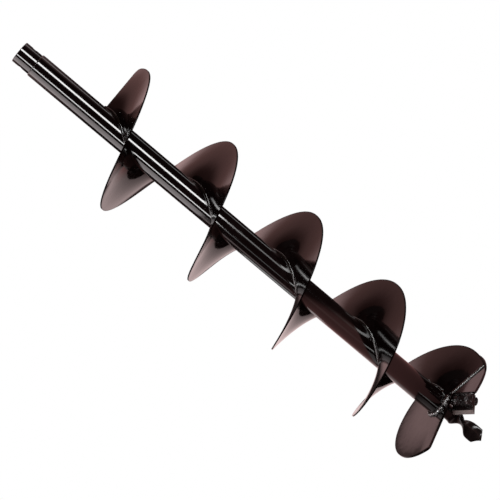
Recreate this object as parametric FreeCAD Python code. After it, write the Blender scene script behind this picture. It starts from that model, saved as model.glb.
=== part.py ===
import FreeCAD, Part
import math
import os

# Earth auger bit, 12 inch size, for a powered post-hole drive.
#
# The origin is the centre of the drive socket's mouth. +Z points up along the axis, towards the drive,
# so the whole bit hangs below the origin. +X is where the flighting starts, and the open soil mouth of
# the base plate faces -Y. Lengths are in millimetres and angles in degrees, anticlockwise from above.

# Tube and drive socket
TUBE_RADIUS = 28.6
TUBE_WALL = 2.4
SOCKET_PROJECTION = 46.5
SOCKET_LENGTH = 110.0
SOCKET_RADIUS = 26.1
SOCKET_BORE_RADIUS = 20.75
SOCKET_OUTER_CHAMFER = 1.5
SOCKET_WELD_LEG = 2.3
DRIVE_BOLT_HOLE_RADIUS = 6.75
DRIVE_BOLT_DEPTH = 23.0

# Flighting: a right-hand helix in formed sections of one turn each, butt-welded at the back of the tube.
# The first and the last are cut short.
FLIGHT_RADIUS = 152.4
FLIGHT_PITCH = 253.0
FLIGHT_THICKNESS = 3.4
FLIGHT_ZERO_Z = -237.9
FLIGHT_START_ANGLE = 20.5
FLIGHT_SECTIONS = 5
SEAM_ANGLE = 90.0
START_CORNER_RADIUS = 14.0
FIT_GAP = 0.2
SEAM_GAP = 0.6
ROOT_WELD_LEG = 5.5
SEAM_WELD_WIDTH = 6.0
SEAM_WELD_HEIGHT = 1.4

# Base plate: a flat disc with a wedge cut out of its front, where the soil comes in
PLATE_TOP_Z = -1268.2
PLATE_THICKNESS = 6.0
PLATE_EASE_ANGLE = -28.0
PLATE_EASE_MID_ANGLE = -45.4
PLATE_EASE_MID_RADIUS = 146.8
LEADING_CORNER_ANGLE = -57.9
LEADING_CORNER_RADIUS = 139.6
TRAILING_CORNER_ANGLE = -126.1
MOUTH_APEX = (41.1, -19.1)
TRAILING_CORNER_FILLET = 9.0
PLATE_WELD_LEG = 8.0
MOUTH_WELD_LEG = 11.0
MOUTH_WELD_START = -85.0
LOWER_WELD_LEG = 5.0
TUBE_BELOW_PLATE = 4.0
END_WELD_LEG = 4.0
WELD_CROWN = 0.58
WELD_END_GAP = 1.0

# Blade holder and cutting blade, measured along the leading edge from the mouth's apex
BLADE_SLOPE = 27.0
HOLDER_START = -8.0
HOLDER_END = 90.0
HOLDER_THICKNESS = 5.0
HOLDER_FLANGE = 24.0
HOLDER_LIP = 26.0
HOLDER_FLANGE_END = 76.0
HOLDER_WELD_LEG = 4.0
HOLDER_WELD_START = 6.0
BLADE_START = -11.0
BLADE_END = 89.0
BLADE_REAR_END = 83.0
BLADE_REAR = 2.0
BLADE_FRONT = 46.0
BLADE_THICKNESS = 6.0
BLADE_BEVEL = 9.0
BLADE_LAND = 1.0
FOOT_WELD_NEAR = 10.6
FOOT_WELD_FAR = 23.0
FOOT_WELD_START = -7.0
FOOT_WELD_END = 6.0
FOOT_WELD_DROP = 1.1

# Blade bolts: low hexagon heads under the blade, nuts on top of the holder
BOLT_PLACES = (26.0, 80.0)
BOLT_DOWN = 16.0
BOLT_RADIUS = 6.0
BOLT_HOLE_RADIUS = 6.5
BOLT_HEAD_HEIGHT = 4.5
BOLT_CHAMFER = 1.2
BOLT_END = 2.0
WASHER_RADIUS = 10.5
WASHER_THICKNESS = 2.0
ACROSS_FLATS = 19.0
NUT_HEIGHT = 9.0
HEX_CHAMFER_RADIUS = 10.3
THREAD_GAP = 0.1
CUT_MARGIN = 1.0

# Pilot: a flat bar twisted right-hand, with a round shank pinned in a hub inside the tube
HUB_BORE_RADIUS = 17.6
HUB_LENGTH = 60.0
HUB_RECESS = 1.0
SHANK_RADIUS = 17.5
SHANK_STEP = 0.4
SHANK_TOP_Z = -1226.0
SHANK_BOTTOM_Z = -1304.0
PILOT_FLAT_Z = -1325.0
PILOT_SHOULDER_Z = -1390.3
PILOT_TIP_Z = -1405.9
PILOT_HALF_WIDTH = 21.0
PILOT_HALF_THICKNESS = 4.6
PILOT_TWIST_PITCH = 151.0
PILOT_SQUARE_Z = -1379.4
PILOT_TWIST_GATHER = 0.45
PILOT_SECTIONS = 18
PILOT_SECTION_POINTS = 24
PILOT_EDGE_SHARPNESS = 4.0
PIN_RADIUS = 5.0
PIN_WALL = 1.6
PIN_Z = -1246.0
PIN_HOLE_GAP = 0.05
PIN_RECESS = 0.5

TOUCH = 0.02
AXIS = FreeCAD.Vector(0, 0, 1)
ORIGIN = FreeCAD.Vector(0, 0, 0)

TUBE_BORE_RADIUS = TUBE_RADIUS - TUBE_WALL
PLATE_BOTTOM_Z = PLATE_TOP_Z - PLATE_THICKNESS
TUBE_BOTTOM_Z = PLATE_BOTTOM_Z - TUBE_BELOW_PLATE
HUB_BOTTOM_Z = TUBE_BOTTOM_Z + HUB_RECESS
FLIGHT_START_Z = FLIGHT_ZERO_Z + FLIGHT_PITCH * FLIGHT_START_ANGLE / 360.0
FLIGHT_END_Z = PLATE_TOP_Z + FLIGHT_THICKNESS / 2 + TOUCH
FLIGHT_TURN = 360.0 * (FLIGHT_START_Z - FLIGHT_END_Z) / FLIGHT_PITCH
FLIGHT_END_ANGLE = FLIGHT_START_ANGLE - FLIGHT_TURN


def polar(radius, angle, z=0.0):
    """A point at a radius and an angle about the axis."""
    turn = math.radians(angle)
    return FreeCAD.Vector(radius * math.cos(turn), radius * math.sin(turn), z)


def cylinder(radius, low, high, place=ORIGIN, axis=AXIS):
    """A cylinder from low to high along an axis through a place."""
    return Part.makeCylinder(radius, high - low, place + axis * low, axis)


def polygon_face(points):
    """A flat face with straight sides."""
    return Part.Face(Part.makePolygon(points + points[:1]))


def save(shape, name):
    """Write one node."""
    if not shape.isValid():
        raise ValueError(name + " is not a valid shape")
    shape.exportStep(os.path.join("parts", name + ".step"))
    print("%-20s %d solid(s) %10.0f mm3" % (name, len(shape.Solids), shape.Volume))


# ---------------------------------------------------------------- tube and drive socket

def bead_edges(inner, base, leg, side=1):
    """The outline of a convex fillet bead in the XZ plane, its corner at radius inner and height base."""
    corner = FreeCAD.Vector(inner, 0, base)
    out = FreeCAD.Vector(inner + leg, 0, base)
    crown = FreeCAD.Vector(inner + leg * WELD_CROWN, 0, base + side * leg * WELD_CROWN)
    up = FreeCAD.Vector(inner, 0, base + side * leg)
    return [Part.makeLine(corner, out), Part.Arc(out, crown, up).toShape(), Part.makeLine(up, corner)]


def ring_weld(radius, z, leg, side, start=0.0, sweep=360.0):
    """A fillet bead round a cylinder, on the upper (+1) or lower (-1) side of the plane z."""
    face = Part.Face(Part.Wire(bead_edges(radius + TOUCH, z + side * TOUCH, leg, side)))
    bead = face.revolve(ORIGIN, AXIS, sweep)
    bead.rotate(ORIGIN, AXIS, start)
    return bead


def plate_upper_weld():
    """The bead round the tube on top of the base plate, from the flight's end to the mouth's weld."""
    clear = 360.0 * (PLATE_WELD_LEG + FLIGHT_THICKNESS) / FLIGHT_PITCH
    start = FLIGHT_END_ANGLE % 360.0 + clear
    sweep = MOUTH_WELD_START + 720.0 - WELD_END_GAP - start
    return ring_weld(TUBE_RADIUS, PLATE_TOP_Z, PLATE_WELD_LEG, 1, start, sweep)


def mouth_weld():
    """The heavy bead beside the soil mouth, where the plate is narrow, up to the flight's end."""
    sweep = (FLIGHT_END_ANGLE - MOUTH_WELD_START) % 360.0 - WELD_END_GAP
    return ring_weld(TUBE_RADIUS, PLATE_TOP_Z, MOUTH_WELD_LEG, 1, MOUTH_WELD_START, sweep)


def drive_socket():
    """A thick sleeve with a round bore, a cross-bolt hole and an eased outer rim."""
    bore = SOCKET_BORE_RADIUS
    profile = [FreeCAD.Vector(bore, 0, -SOCKET_LENGTH),
               FreeCAD.Vector(SOCKET_RADIUS, 0, -SOCKET_LENGTH),
               FreeCAD.Vector(SOCKET_RADIUS, 0, -SOCKET_OUTER_CHAMFER),
               FreeCAD.Vector(SOCKET_RADIUS - SOCKET_OUTER_CHAMFER, 0, 0),
               FreeCAD.Vector(bore, 0, 0)]
    sleeve = polygon_face(profile).revolve(ORIGIN, AXIS, 360)
    reach = 2 * SOCKET_RADIUS
    place = FreeCAD.Vector(0, 0, -DRIVE_BOLT_DEPTH)
    hole = cylinder(DRIVE_BOLT_HOLE_RADIUS, -reach, reach, place, FreeCAD.Vector(1, 0, 0))
    return sleeve.cut(hole)


def pin_hole():
    """The hole for the pilot's pin, right across the tube."""
    reach = 2 * TUBE_RADIUS
    place = FreeCAD.Vector(0, 0, PIN_Z)
    return cylinder(PIN_RADIUS + PIN_HOLE_GAP, -reach, reach, place, FreeCAD.Vector(1, 0, 0))


def centre_tube():
    """The round tube that everything else is welded to."""
    outside = cylinder(TUBE_RADIUS, TUBE_BOTTOM_Z, -SOCKET_PROJECTION)
    inside = cylinder(TUBE_BORE_RADIUS, TUBE_BOTTOM_Z, -SOCKET_PROJECTION)
    return outside.cut(inside).cut(pin_hole())


# ---------------------------------------------------------------- flighting

def flight_z(angle_below_start):
    """The height of the flight's mid-plane, a given turn below its start."""
    return FLIGHT_START_Z - FLIGHT_PITCH * angle_below_start / 360.0


def screw_sweep(profile, top_turn, bottom_turn):
    """Sweep a profile, drawn in the XZ plane about the flight's mid-plane, from one turn up to another."""
    height = FLIGHT_PITCH * (bottom_turn - top_turn) / 360.0
    spine = Part.makeHelix(FLIGHT_PITCH, height, FLIGHT_RADIUS)
    solid = Part.Wire(spine.Edges).makePipeShell([profile], True, True)
    solid.rotate(ORIGIN, AXIS, FLIGHT_START_ANGLE - bottom_turn)
    solid.translate(FreeCAD.Vector(0, 0, flight_z(bottom_turn)))
    return solid


def section_turns(index):
    """The turns, below the start, at which one flight section begins and ends."""
    first_seam = (FLIGHT_START_ANGLE - SEAM_ANGLE) % 360.0
    top_turn = max(0.0, first_seam + 360.0 * (index - 1))
    bottom_turn = min(FLIGHT_TURN, first_seam + 360.0 * index)
    return top_turn, bottom_turn


def start_corner():
    """The wedge taken off the outer corner where the flighting begins."""
    radius = START_CORNER_RADIUS
    saved = radius * (1 - math.sqrt(0.5))
    inward = FreeCAD.Vector(FLIGHT_RADIUS - radius, 0, 0)
    middle = FreeCAD.Vector(FLIGHT_RADIUS - saved, -saved, 0)
    along = FreeCAD.Vector(FLIGHT_RADIUS, -radius, 0)
    outside = [along,
               FreeCAD.Vector(FLIGHT_RADIUS + radius, -radius, 0),
               FreeCAD.Vector(FLIGHT_RADIUS + radius, radius, 0),
               FreeCAD.Vector(FLIGHT_RADIUS - radius, radius, 0),
               inward]
    edges = [Part.Arc(inward, middle, along).toShape()] + Part.makePolygon(outside).Edges
    tool = Part.Face(Part.Wire(edges)).extrude(AXIS * 2 * radius)
    tool.translate(AXIS * (FLIGHT_START_Z - radius))
    tool.rotate(ORIGIN, AXIS, FLIGHT_START_ANGLE)
    return tool


def flight(index):
    """One formed section of the flighting."""
    top_turn, bottom_turn = section_turns(index)
    seam_turn = math.degrees(SEAM_GAP / 2 / FLIGHT_RADIUS)
    if index > 0:
        top_turn += seam_turn
    if index < FLIGHT_SECTIONS - 1:
        bottom_turn -= seam_turn
    inner = TUBE_RADIUS + FIT_GAP
    half = FLIGHT_THICKNESS / 2
    corners = [FreeCAD.Vector(inner, 0, -half),
               FreeCAD.Vector(FLIGHT_RADIUS, 0, -half),
               FreeCAD.Vector(FLIGHT_RADIUS, 0, half),
               FreeCAD.Vector(inner, 0, half)]
    solid = screw_sweep(Part.makePolygon(corners + corners[:1]), top_turn, bottom_turn)
    if index == 0:
        solid = solid.cut(start_corner())
    return solid


def root_weld(index):
    """The fillet bead on top of one section, where it meets the tube."""
    top_turn, bottom_turn = section_turns(index)
    edges = bead_edges(TUBE_RADIUS + TOUCH, FLIGHT_THICKNESS / 2 + TOUCH, ROOT_WELD_LEG)
    if index == FLIGHT_SECTIONS - 1:
        bottom_turn -= math.degrees(PLATE_WELD_LEG / TUBE_RADIUS)
    return screw_sweep(Part.Wire(edges), top_turn, bottom_turn)


def seam_weld(index):
    """The low bead across the top of a butt joint between two sections."""
    turn = section_turns(index)[1]
    start = TUBE_RADIUS + ROOT_WELD_LEG + WELD_END_GAP
    end = FLIGHT_RADIUS - WELD_END_GAP
    base = FLIGHT_THICKNESS / 2 + TOUCH
    half = math.degrees(SEAM_WELD_WIDTH / 2 / FLIGHT_RADIUS)
    corners = [FreeCAD.Vector(start, 0, base),
               FreeCAD.Vector(end, 0, base),
               FreeCAD.Vector(end - SEAM_WELD_HEIGHT, 0, base + SEAM_WELD_HEIGHT),
               FreeCAD.Vector(start + SEAM_WELD_HEIGHT, 0, base + SEAM_WELD_HEIGHT)]
    return screw_sweep(Part.makePolygon(corners + corners[:1]), turn - half, turn + half)


# ---------------------------------------------------------------- base plate

def base_plate():
    """The flat disc at the foot of the flighting, open at the front."""
    ease_start = polar(FLIGHT_RADIUS, PLATE_EASE_ANGLE)
    ease_middle = polar(PLATE_EASE_MID_RADIUS, PLATE_EASE_MID_ANGLE)
    leading = polar(LEADING_CORNER_RADIUS, LEADING_CORNER_ANGLE)
    trailing = polar(FLIGHT_RADIUS, TRAILING_CORNER_ANGLE)
    apex = FreeCAD.Vector(MOUTH_APEX[0], MOUTH_APEX[1], 0)
    opposite = polar(FLIGHT_RADIUS, 180 + (PLATE_EASE_ANGLE + TRAILING_CORNER_ANGLE) / 2)
    edges = [Part.Arc(ease_start, opposite, trailing).toShape(),
             Part.makeLine(trailing, apex),
             Part.makeLine(apex, leading),
             Part.Arc(leading, ease_middle, ease_start).toShape()]
    disc = Part.Face(Part.Wire(edges)).extrude(AXIS * PLATE_THICKNESS)
    disc.translate(AXIS * PLATE_BOTTOM_Z)
    corner_edges = [edge for edge in disc.Edges if is_upright_at(edge, trailing)]
    disc = disc.makeFillet(TRAILING_CORNER_FILLET, corner_edges)
    low, high = PLATE_BOTTOM_Z - CUT_MARGIN, PLATE_TOP_Z + CUT_MARGIN
    return disc.cut(cylinder(TUBE_RADIUS + FIT_GAP / 2, low, high))


def is_upright_at(edge, point):
    """Whether an edge runs along Z above or below a point."""
    middle = edge.CenterOfMass
    return edge.BoundBox.ZLength > 1 and math.hypot(middle.x - point.x, middle.y - point.y) < 1


def flight_end_weld():
    """The bead that closes the flight's lower end onto the plate."""
    start = TUBE_RADIUS + MOUTH_WELD_LEG + WELD_END_GAP
    end = FLIGHT_RADIUS - 2 * WELD_END_GAP
    base = PLATE_TOP_Z + TOUCH
    face = polygon_face([FreeCAD.Vector(start, -TOUCH, base),
                         FreeCAD.Vector(start, -END_WELD_LEG, base),
                         FreeCAD.Vector(start, -TOUCH, base + END_WELD_LEG)])
    bead = face.extrude(FreeCAD.Vector(end - start, 0, 0))
    bead.rotate(ORIGIN, AXIS, FLIGHT_END_ANGLE)
    return bead


# ---------------------------------------------------------------- blade and its holder

class LeadingEdge:
    """Axes of the plate's leading edge: out along it, forward of it, and down the blade's slope."""

    def __init__(self):
        self.apex = FreeCAD.Vector(MOUTH_APEX[0], MOUTH_APEX[1], PLATE_BOTTOM_Z)
        leading = polar(LEADING_CORNER_RADIUS, LEADING_CORNER_ANGLE, PLATE_BOTTOM_Z)
        self.out = (leading - self.apex).normalize()
        self.forward = self.out.cross(AXIS)
        tilt = math.radians(BLADE_SLOPE)
        self.slope = self.forward * math.cos(tilt) - AXIS * math.sin(tilt)
        self.normal = self.forward * math.sin(tilt) + AXIS * math.cos(tilt)

    def flat(self, out, forward, up):
        """A point given in the plate's own directions."""
        return self.apex + self.out * out + self.forward * forward + AXIS * up

    def sloped(self, out, down, above):
        """A point on the slope, above or below the holder's upper face."""
        return self.apex + self.out * out + self.slope * down + self.normal * above


EDGE = LeadingEdge()


def blade_holder():
    """A strip bent along the leading edge: its flange lies under the plate, its lip slopes forward."""
    inner_bend = -HOLDER_THICKNESS * math.tan(math.radians(BLADE_SLOPE / 2))
    face = polygon_face([EDGE.flat(HOLDER_START, -HOLDER_FLANGE, -TOUCH),
                         EDGE.flat(HOLDER_START, 0, -TOUCH),
                         EDGE.sloped(HOLDER_START, HOLDER_LIP, 0),
                         EDGE.sloped(HOLDER_START, HOLDER_LIP, -HOLDER_THICKNESS),
                         EDGE.flat(HOLDER_START, inner_bend, -HOLDER_THICKNESS),
                         EDGE.flat(HOLDER_START, -HOLDER_FLANGE, -HOLDER_THICKNESS)])
    strip = face.extrude(EDGE.out * (HOLDER_END - HOLDER_START))
    low = -HOLDER_THICKNESS - CUT_MARGIN
    corner = polygon_face([EDGE.flat(HOLDER_FLANGE_END, -HOLDER_FLANGE, low),
                           EDGE.flat(HOLDER_END, -HOLDER_FLANGE / 4, low),
                           EDGE.flat(HOLDER_END + HOLDER_FLANGE, -HOLDER_FLANGE / 4, low),
                           EDGE.flat(HOLDER_END + HOLDER_FLANGE, -2 * HOLDER_FLANGE, low),
                           EDGE.flat(HOLDER_FLANGE_END, -2 * HOLDER_FLANGE, low)])
    strip = strip.cut(corner.extrude(AXIS * (HOLDER_THICKNESS + 2 * CUT_MARGIN)))
    for place in BOLT_PLACES:
        strip = strip.cut(bolt_cylinder(place, BOLT_HOLE_RADIUS, -2 * HOLDER_THICKNESS, HOLDER_THICKNESS))
    return strip


def holder_weld():
    """The bead between the plate's front face and the holder's lip."""
    face = polygon_face([EDGE.flat(HOLDER_WELD_START, TOUCH, TOUCH),
                         EDGE.flat(HOLDER_WELD_START, TOUCH, HOLDER_WELD_LEG),
                         EDGE.sloped(HOLDER_WELD_START, HOLDER_WELD_LEG, 2 * TOUCH)])
    return face.extrude(EDGE.out * (HOLDER_END - HOLDER_WELD_START))


def foot_weld():
    """The wedge of weld between the holder's inner end and the foot of the tube."""
    top = TUBE_BOTTOM_Z - FOOT_WELD_DROP - PLATE_BOTTOM_Z
    fall = math.tan(math.radians(BLADE_SLOPE))
    face = polygon_face([EDGE.flat(FOOT_WELD_START, FOOT_WELD_NEAR, top),
                         EDGE.flat(FOOT_WELD_START, FOOT_WELD_FAR, top),
                         EDGE.flat(FOOT_WELD_START, FOOT_WELD_FAR, TOUCH - FOOT_WELD_FAR * fall),
                         EDGE.flat(FOOT_WELD_START, FOOT_WELD_NEAR, TOUCH - FOOT_WELD_NEAR * fall)])
    return face.extrude(EDGE.out * (FOOT_WELD_END - FOOT_WELD_START))


def bolt_cylinder(place, radius, low, high):
    """A cylinder on the axis of one blade bolt, between two heights above the holder's upper face."""
    return cylinder(radius, low, high, EDGE.sloped(place, BOLT_DOWN, 0), EDGE.normal)


def hexagon(place, low, height, rounded_end):
    """A hexagon prism on a bolt's axis, its corners chamfered at the far end (+1 is up, -1 is down)."""
    sideways = EDGE.normal.cross(EDGE.out)
    centre = EDGE.sloped(place, BOLT_DOWN, low)
    corners = []
    for step in range(6):
        turn = math.radians(60 * step)
        spoke = EDGE.out * math.cos(turn) + sideways * math.sin(turn)
        corners.append(centre + spoke * (ACROSS_FLATS / math.sqrt(3)))
    prism = polygon_face(corners).extrude(EDGE.normal * height)
    wide, narrow = HEX_CHAMFER_RADIUS + height, HEX_CHAMFER_RADIUS - CUT_MARGIN
    radii = (wide, narrow) if rounded_end > 0 else (narrow, wide)
    return prism.common(Part.makeCone(radii[0], radii[1], height, centre, EDGE.normal))


def cutting_blade():
    """A flat bar with a bevelled front edge and a slanted outer end, bolted under the lip."""
    top = -HOLDER_THICKNESS - TOUCH
    bottom = top - BLADE_THICKNESS
    face = polygon_face([EDGE.sloped(BLADE_START, BLADE_REAR, top),
                         EDGE.sloped(BLADE_START, BLADE_FRONT - BLADE_BEVEL, top),
                         EDGE.sloped(BLADE_START, BLADE_FRONT, bottom + BLADE_LAND),
                         EDGE.sloped(BLADE_START, BLADE_FRONT, bottom),
                         EDGE.sloped(BLADE_START, BLADE_REAR, bottom)])
    bar = face.extrude(EDGE.out * (BLADE_END - BLADE_START))
    below = bottom - CUT_MARGIN
    beyond = BLADE_END + CUT_MARGIN
    corner = polygon_face([EDGE.sloped(BLADE_REAR_END, BLADE_REAR - CUT_MARGIN, below),
                           EDGE.sloped(beyond, BLADE_REAR - CUT_MARGIN, below),
                           EDGE.sloped(beyond, BLADE_FRONT, below),
                           EDGE.sloped(BLADE_END, BLADE_FRONT, below)])
    bar = bar.cut(corner.extrude(EDGE.normal * (BLADE_THICKNESS + 2 * CUT_MARGIN)))
    for place in BOLT_PLACES:
        bar = bar.cut(bolt_cylinder(place, BOLT_HOLE_RADIUS, below, top + CUT_MARGIN))
    return bar


def blade_bolt(place):
    """A bolt with a low head under the blade and its end above the nut."""
    under = -HOLDER_THICKNESS - BLADE_THICKNESS - 2 * TOUCH
    high = WASHER_THICKNESS + NUT_HEIGHT + BOLT_END
    shank = bolt_cylinder(place, BOLT_RADIUS, under - CUT_MARGIN, high - BOLT_CHAMFER)
    end = Part.makeCone(BOLT_RADIUS, BOLT_RADIUS - BOLT_CHAMFER, BOLT_CHAMFER,
                        EDGE.sloped(place, BOLT_DOWN, high - BOLT_CHAMFER), EDGE.normal)
    head = hexagon(place, under - BOLT_HEAD_HEIGHT, BOLT_HEAD_HEIGHT, -1)
    return shank.fuse(end).fuse(head).removeSplitter()


def blade_washer(place):
    """A flat washer under one nut."""
    ring = bolt_cylinder(place, WASHER_RADIUS, TOUCH, WASHER_THICKNESS)
    return ring.cut(bolt_cylinder(place, BOLT_HOLE_RADIUS, -CUT_MARGIN, WASHER_THICKNESS + CUT_MARGIN))


def blade_nut(place):
    """A hexagon nut with its corners chamfered."""
    nut = hexagon(place, WASHER_THICKNESS + TOUCH, NUT_HEIGHT, 1)
    return nut.cut(bolt_cylinder(place, BOLT_RADIUS + THREAD_GAP, 0.0, 2 * NUT_HEIGHT))


# ---------------------------------------------------------------- pilot

def pilot_hub():
    """The bush inside the tube's lower end that holds the pilot's shank."""
    top = HUB_BOTTOM_Z + HUB_LENGTH
    outer = TUBE_BORE_RADIUS - FIT_GAP / 2
    bush = cylinder(outer, HUB_BOTTOM_Z, top).cut(cylinder(HUB_BORE_RADIUS, HUB_BOTTOM_Z, top))
    return bush.cut(pin_hole())


def ease(start, end, value):
    """A smooth step from 0 at start to 1 at end."""
    share = min(max((value - start) / (end - start), 0.0), 1.0)
    return share * share * (3 - 2 * share)


def pilot_section(z):
    """Points round the bar's outline at one height: round under the shank, then flat and twisted.

    The twist gathers where the bar stands edge-on to the front.
    """
    flat = ease(SHANK_BOTTOM_Z, PILOT_FLAT_Z, z)
    neck = SHANK_RADIUS - SHANK_STEP
    half_width = neck + (PILOT_HALF_WIDTH - neck) * flat
    half_thickness = neck + (PILOT_HALF_THICKNESS - neck) * flat
    power = 2.0 / (2.0 + (PILOT_EDGE_SHARPNESS - 2.0) * flat)
    even_twist = 2 * math.pi * (z - PILOT_SQUARE_Z) / PILOT_TWIST_PITCH
    twist = even_twist - PILOT_TWIST_GATHER * math.sin(2 * even_twist) / 2
    points = []
    for step in range(PILOT_SECTION_POINTS + 1):
        turn = 2 * math.pi * (step % PILOT_SECTION_POINTS) / PILOT_SECTION_POINTS
        along = half_width * math.copysign(abs(math.cos(turn)) ** power, math.cos(turn))
        across = half_thickness * math.copysign(abs(math.sin(turn)) ** power, math.sin(turn))
        x = along * math.cos(twist) - across * math.sin(twist)
        y = along * math.sin(twist) + across * math.cos(twist)
        points.append(FreeCAD.Vector(x, y, z))
    return points


def twisted_bar():
    """The solid through the bar's outlines, closed with a flat face at each end."""
    length = SHANK_BOTTOM_Z - PILOT_TIP_Z
    rows = [pilot_section(SHANK_BOTTOM_Z - length * step / PILOT_SECTIONS)
            for step in range(PILOT_SECTIONS + 1)]
    surface = Part.BSplineSurface()
    surface.interpolate(rows)
    side = surface.toShape()
    rims = [edge for edge in side.Edges if edge.isClosed()]
    ends = [Part.Face(Part.Wire([rim])) for rim in rims]
    shell = Part.makeShell([side] + ends)
    shell.sewShape()
    return Part.makeSolid(shell)


def tip_cut(side):
    """The wedge below one sloping shoulder of the pilot's point."""
    reach = 2 * PILOT_HALF_WIDTH
    rise = (PILOT_SHOULDER_Z - PILOT_TIP_Z) * reach / PILOT_HALF_WIDTH
    depth = 4 * PILOT_HALF_THICKNESS
    low = PILOT_TIP_Z - CUT_MARGIN
    face = polygon_face([FreeCAD.Vector(0, -depth, PILOT_TIP_Z),
                         FreeCAD.Vector(side * reach, -depth, PILOT_TIP_Z + rise),
                         FreeCAD.Vector(side * reach, -depth, low),
                         FreeCAD.Vector(0, -depth, low)])
    wedge = face.extrude(FreeCAD.Vector(0, 2 * depth, 0))
    middle = (PILOT_SHOULDER_Z + PILOT_TIP_Z) / 2
    share = 1 - PILOT_TWIST_GATHER
    wedge.rotate(ORIGIN, AXIS, 360 * share * (middle - PILOT_SQUARE_Z) / PILOT_TWIST_PITCH)
    return wedge


def pilot_point():
    """The twisted bar with its round shank and its pointed end."""
    bar = twisted_bar()
    for side in (-1, 1):
        bar = bar.cut(tip_cut(side))
    shank = cylinder(SHANK_RADIUS, SHANK_BOTTOM_Z, SHANK_TOP_Z)
    return bar.fuse(shank).cut(pin_hole())


def pilot_pin():
    """The rolled pin across the tube, hub and shank, flush with the tube."""
    place = FreeCAD.Vector(0, 0, PIN_Z)
    axis = FreeCAD.Vector(1, 0, 0)
    half = TUBE_RADIUS - PIN_RECESS
    pin = cylinder(PIN_RADIUS, -half, half, place, axis)
    return pin.cut(cylinder(PIN_RADIUS - PIN_WALL, -half, half, place, axis))


# ---------------------------------------------------------------- output

def main():
    os.makedirs("parts", exist_ok=True)
    save(drive_socket(), "drive_socket")
    save(ring_weld(SOCKET_RADIUS, -SOCKET_PROJECTION, SOCKET_WELD_LEG, 1), "socket_weld")
    save(centre_tube(), "centre_tube")
    for index in range(FLIGHT_SECTIONS):
        save(flight(index), "flight_%d" % (index + 1))
        save(root_weld(index), "root_weld_%d" % (index + 1))
    for index in range(FLIGHT_SECTIONS - 1):
        save(seam_weld(index), "seam_weld_%d" % (index + 1))
    save(base_plate(), "base_plate")
    save(plate_upper_weld(), "plate_upper_weld")
    save(mouth_weld(), "mouth_weld")
    save(ring_weld(TUBE_RADIUS, PLATE_BOTTOM_Z, LOWER_WELD_LEG, -1), "plate_lower_weld")
    save(flight_end_weld(), "flight_end_weld")
    save(blade_holder(), "blade_holder")
    save(holder_weld(), "holder_weld")
    save(foot_weld(), "foot_weld")
    save(cutting_blade(), "cutting_blade")
    save(Part.Compound([blade_bolt(place) for place in BOLT_PLACES]), "blade_bolts")
    save(Part.Compound([blade_washer(place) for place in BOLT_PLACES]), "blade_washers")
    save(Part.Compound([blade_nut(place) for place in BOLT_PLACES]), "blade_nuts")
    save(pilot_hub(), "pilot_hub")
    save(pilot_point(), "pilot_point")
    save(pilot_pin(), "pilot_pin")


main()
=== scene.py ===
import math

import bmesh
import bpy
import numpy as np
from mathutils import Matrix, Vector


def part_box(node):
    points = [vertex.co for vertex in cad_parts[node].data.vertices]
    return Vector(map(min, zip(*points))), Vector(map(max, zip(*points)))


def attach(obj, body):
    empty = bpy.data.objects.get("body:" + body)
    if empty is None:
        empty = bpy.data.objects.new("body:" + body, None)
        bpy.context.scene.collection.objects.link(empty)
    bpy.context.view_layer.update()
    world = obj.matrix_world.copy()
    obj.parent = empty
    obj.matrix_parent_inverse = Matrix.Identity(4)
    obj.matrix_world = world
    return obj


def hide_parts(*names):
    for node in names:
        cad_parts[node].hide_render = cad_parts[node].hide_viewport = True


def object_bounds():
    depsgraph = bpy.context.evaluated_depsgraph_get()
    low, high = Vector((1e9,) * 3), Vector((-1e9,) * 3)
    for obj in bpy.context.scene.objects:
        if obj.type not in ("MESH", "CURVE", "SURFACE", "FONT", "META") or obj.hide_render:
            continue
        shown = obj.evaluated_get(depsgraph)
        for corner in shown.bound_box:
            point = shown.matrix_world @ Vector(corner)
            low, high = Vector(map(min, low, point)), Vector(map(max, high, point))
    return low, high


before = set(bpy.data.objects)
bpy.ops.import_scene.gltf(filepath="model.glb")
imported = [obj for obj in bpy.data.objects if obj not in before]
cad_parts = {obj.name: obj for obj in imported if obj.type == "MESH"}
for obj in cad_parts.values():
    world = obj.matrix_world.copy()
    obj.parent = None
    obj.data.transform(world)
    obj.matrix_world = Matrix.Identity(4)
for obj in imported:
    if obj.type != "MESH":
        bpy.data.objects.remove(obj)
CAD_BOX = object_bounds()

# Lengths are in metres. The axis is Z, the auger hangs below the origin, and -Y is the front.
BODY = "root"
UP = Vector((0, 0, 1))
ACROSS_TUBE = Vector((1, 0, 0))
FULL_TURN = 2 * math.pi

# Driving dimensions that the frame's boxes don't give
FLIGHT_PITCH = 0.253
FLIGHT_THICKNESS = 0.0034
FLIGHT_SECTIONS = 5
MOUTH_ANGLE = math.radians(-85)
ROOT_WELD_LEG = 0.0055
SEAM_WELD_LEG = 0.0028
SOCKET_WELD_LEG = 0.0023
PLATE_WELD_LEG = 0.008
MOUTH_WELD_LEG = 0.011
LOWER_WELD_LEG = 0.005
END_WELD_LEG = 0.004
HOLDER_WELD_LEG = 0.004
START_CORNER_RADIUS = 0.014
BOLT_RADIUS = 0.006
BLADE_BEVEL = 0.0088
THREAD_PITCH = 0.00175
THREAD_DEPTH = 0.0009
DRIVE_HOLE_RADIUS = 0.00675
DRIVE_HOLE_DEPTH = 0.023
PIN_HOLE_RADIUS = 0.00505
TUBE_WALL = 0.0024
SOCKET_BORE_RADIUS = 0.02075

# Roundings of the pieces that are made here: rims, ends and bores
TUBE_TOP_EASE = 0.0008
SOCKET_MOUTH_EASE = 0.0015
END_EASE = 0.0006
BORE_EASE = 0.0005
RIM_EASE = 0.0009

# Gaps that keep neighbouring pieces apart
FLIGHT_GAP = 0.0002
SEAM_GAPS = (0.001, 0.0015)
END_WELD_GAPS = (0.001, 0.002)
RING_WELD_GAP = math.radians(1)

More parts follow.
